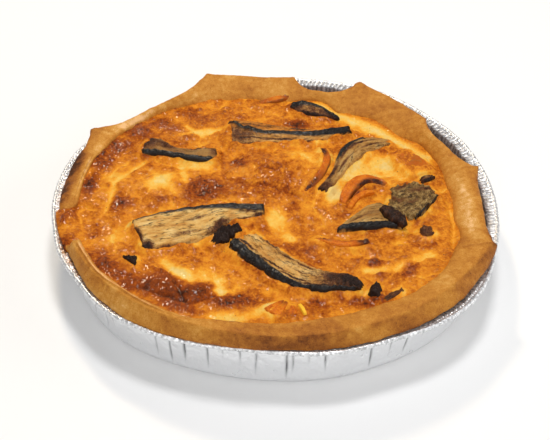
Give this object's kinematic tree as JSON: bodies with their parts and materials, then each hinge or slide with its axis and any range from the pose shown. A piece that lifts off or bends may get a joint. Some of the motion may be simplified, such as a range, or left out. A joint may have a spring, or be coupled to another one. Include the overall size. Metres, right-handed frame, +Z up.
{
  "type": "vegetable quiche in a foil tin",
  "caption": "Round baked quiche with aubergine and pumpkin pieces in browned egg custard, in a free-form pastry crust, standing in its crinkled foil tin.",
  "frame": {"origin": "middle of the tin's flat bottom, on the surface that it stands on", "axes": "+Z up out of the quiche, -Y towards the side with the folded flap of crust"},
  "size_m": [0.2276, 0.2277, 0.039],
  "materials": {
    "foil": "thin crinkled aluminium foil, bright on the bead and satin on the wall",
    "crust": "baked shortcrust, matt golden brown with fine grain and darker edges",
    "custard": "baked egg and cheese custard, yellow to orange with glossy browned patches",
    "aubergine_flesh": "roasted aubergine flesh, tan with lengthwise fibres and a strip of black skin",
    "burnt_skin": "scorched aubergine skin, nearly black with a dull shine",
    "pumpkin": "roasted pumpkin, moist orange with browned edges"
  },
  "bodies": {
    "root": {"foil_tin": "foil", "pastry_case": "crust", "custard_filling": "custard", "aubergine_slice_left": "aubergine_flesh", "aubergine_slice_front": "aubergine_flesh", "aubergine_slice_back_left": "aubergine_flesh", "aubergine_slice_back": "aubergine_flesh", "aubergine_slice_rim": "aubergine_flesh", "aubergine_slice_middle": "aubergine_flesh", "aubergine_slice_right": "aubergine_flesh", "aubergine_chunk_right": "aubergine_flesh", "aubergine_tip_right": "aubergine_flesh", "aubergine_burnt_curl": "burnt_skin", "aubergine_burnt_end": "burnt_skin", "aubergine_dark_strip": "burnt_skin", "aubergine_burnt_bit_right": "burnt_skin", "aubergine_skin_corner": "burnt_skin", "aubergine_strip_front": "burnt_skin", "pumpkin_arc_outer": "pumpkin", "pumpkin_arc_inner": "pumpkin", "pumpkin_fan_left": "pumpkin", "pumpkin_fan_right": "pumpkin", "pumpkin_strip_front": "pumpkin", "pumpkin_slab_edge": "pumpkin", "pumpkin_slab_right": "pumpkin", "pumpkin_sliver_crust": "pumpkin", "pumpkin_sliver_middle": "pumpkin"}
  },
  "joints": []
}
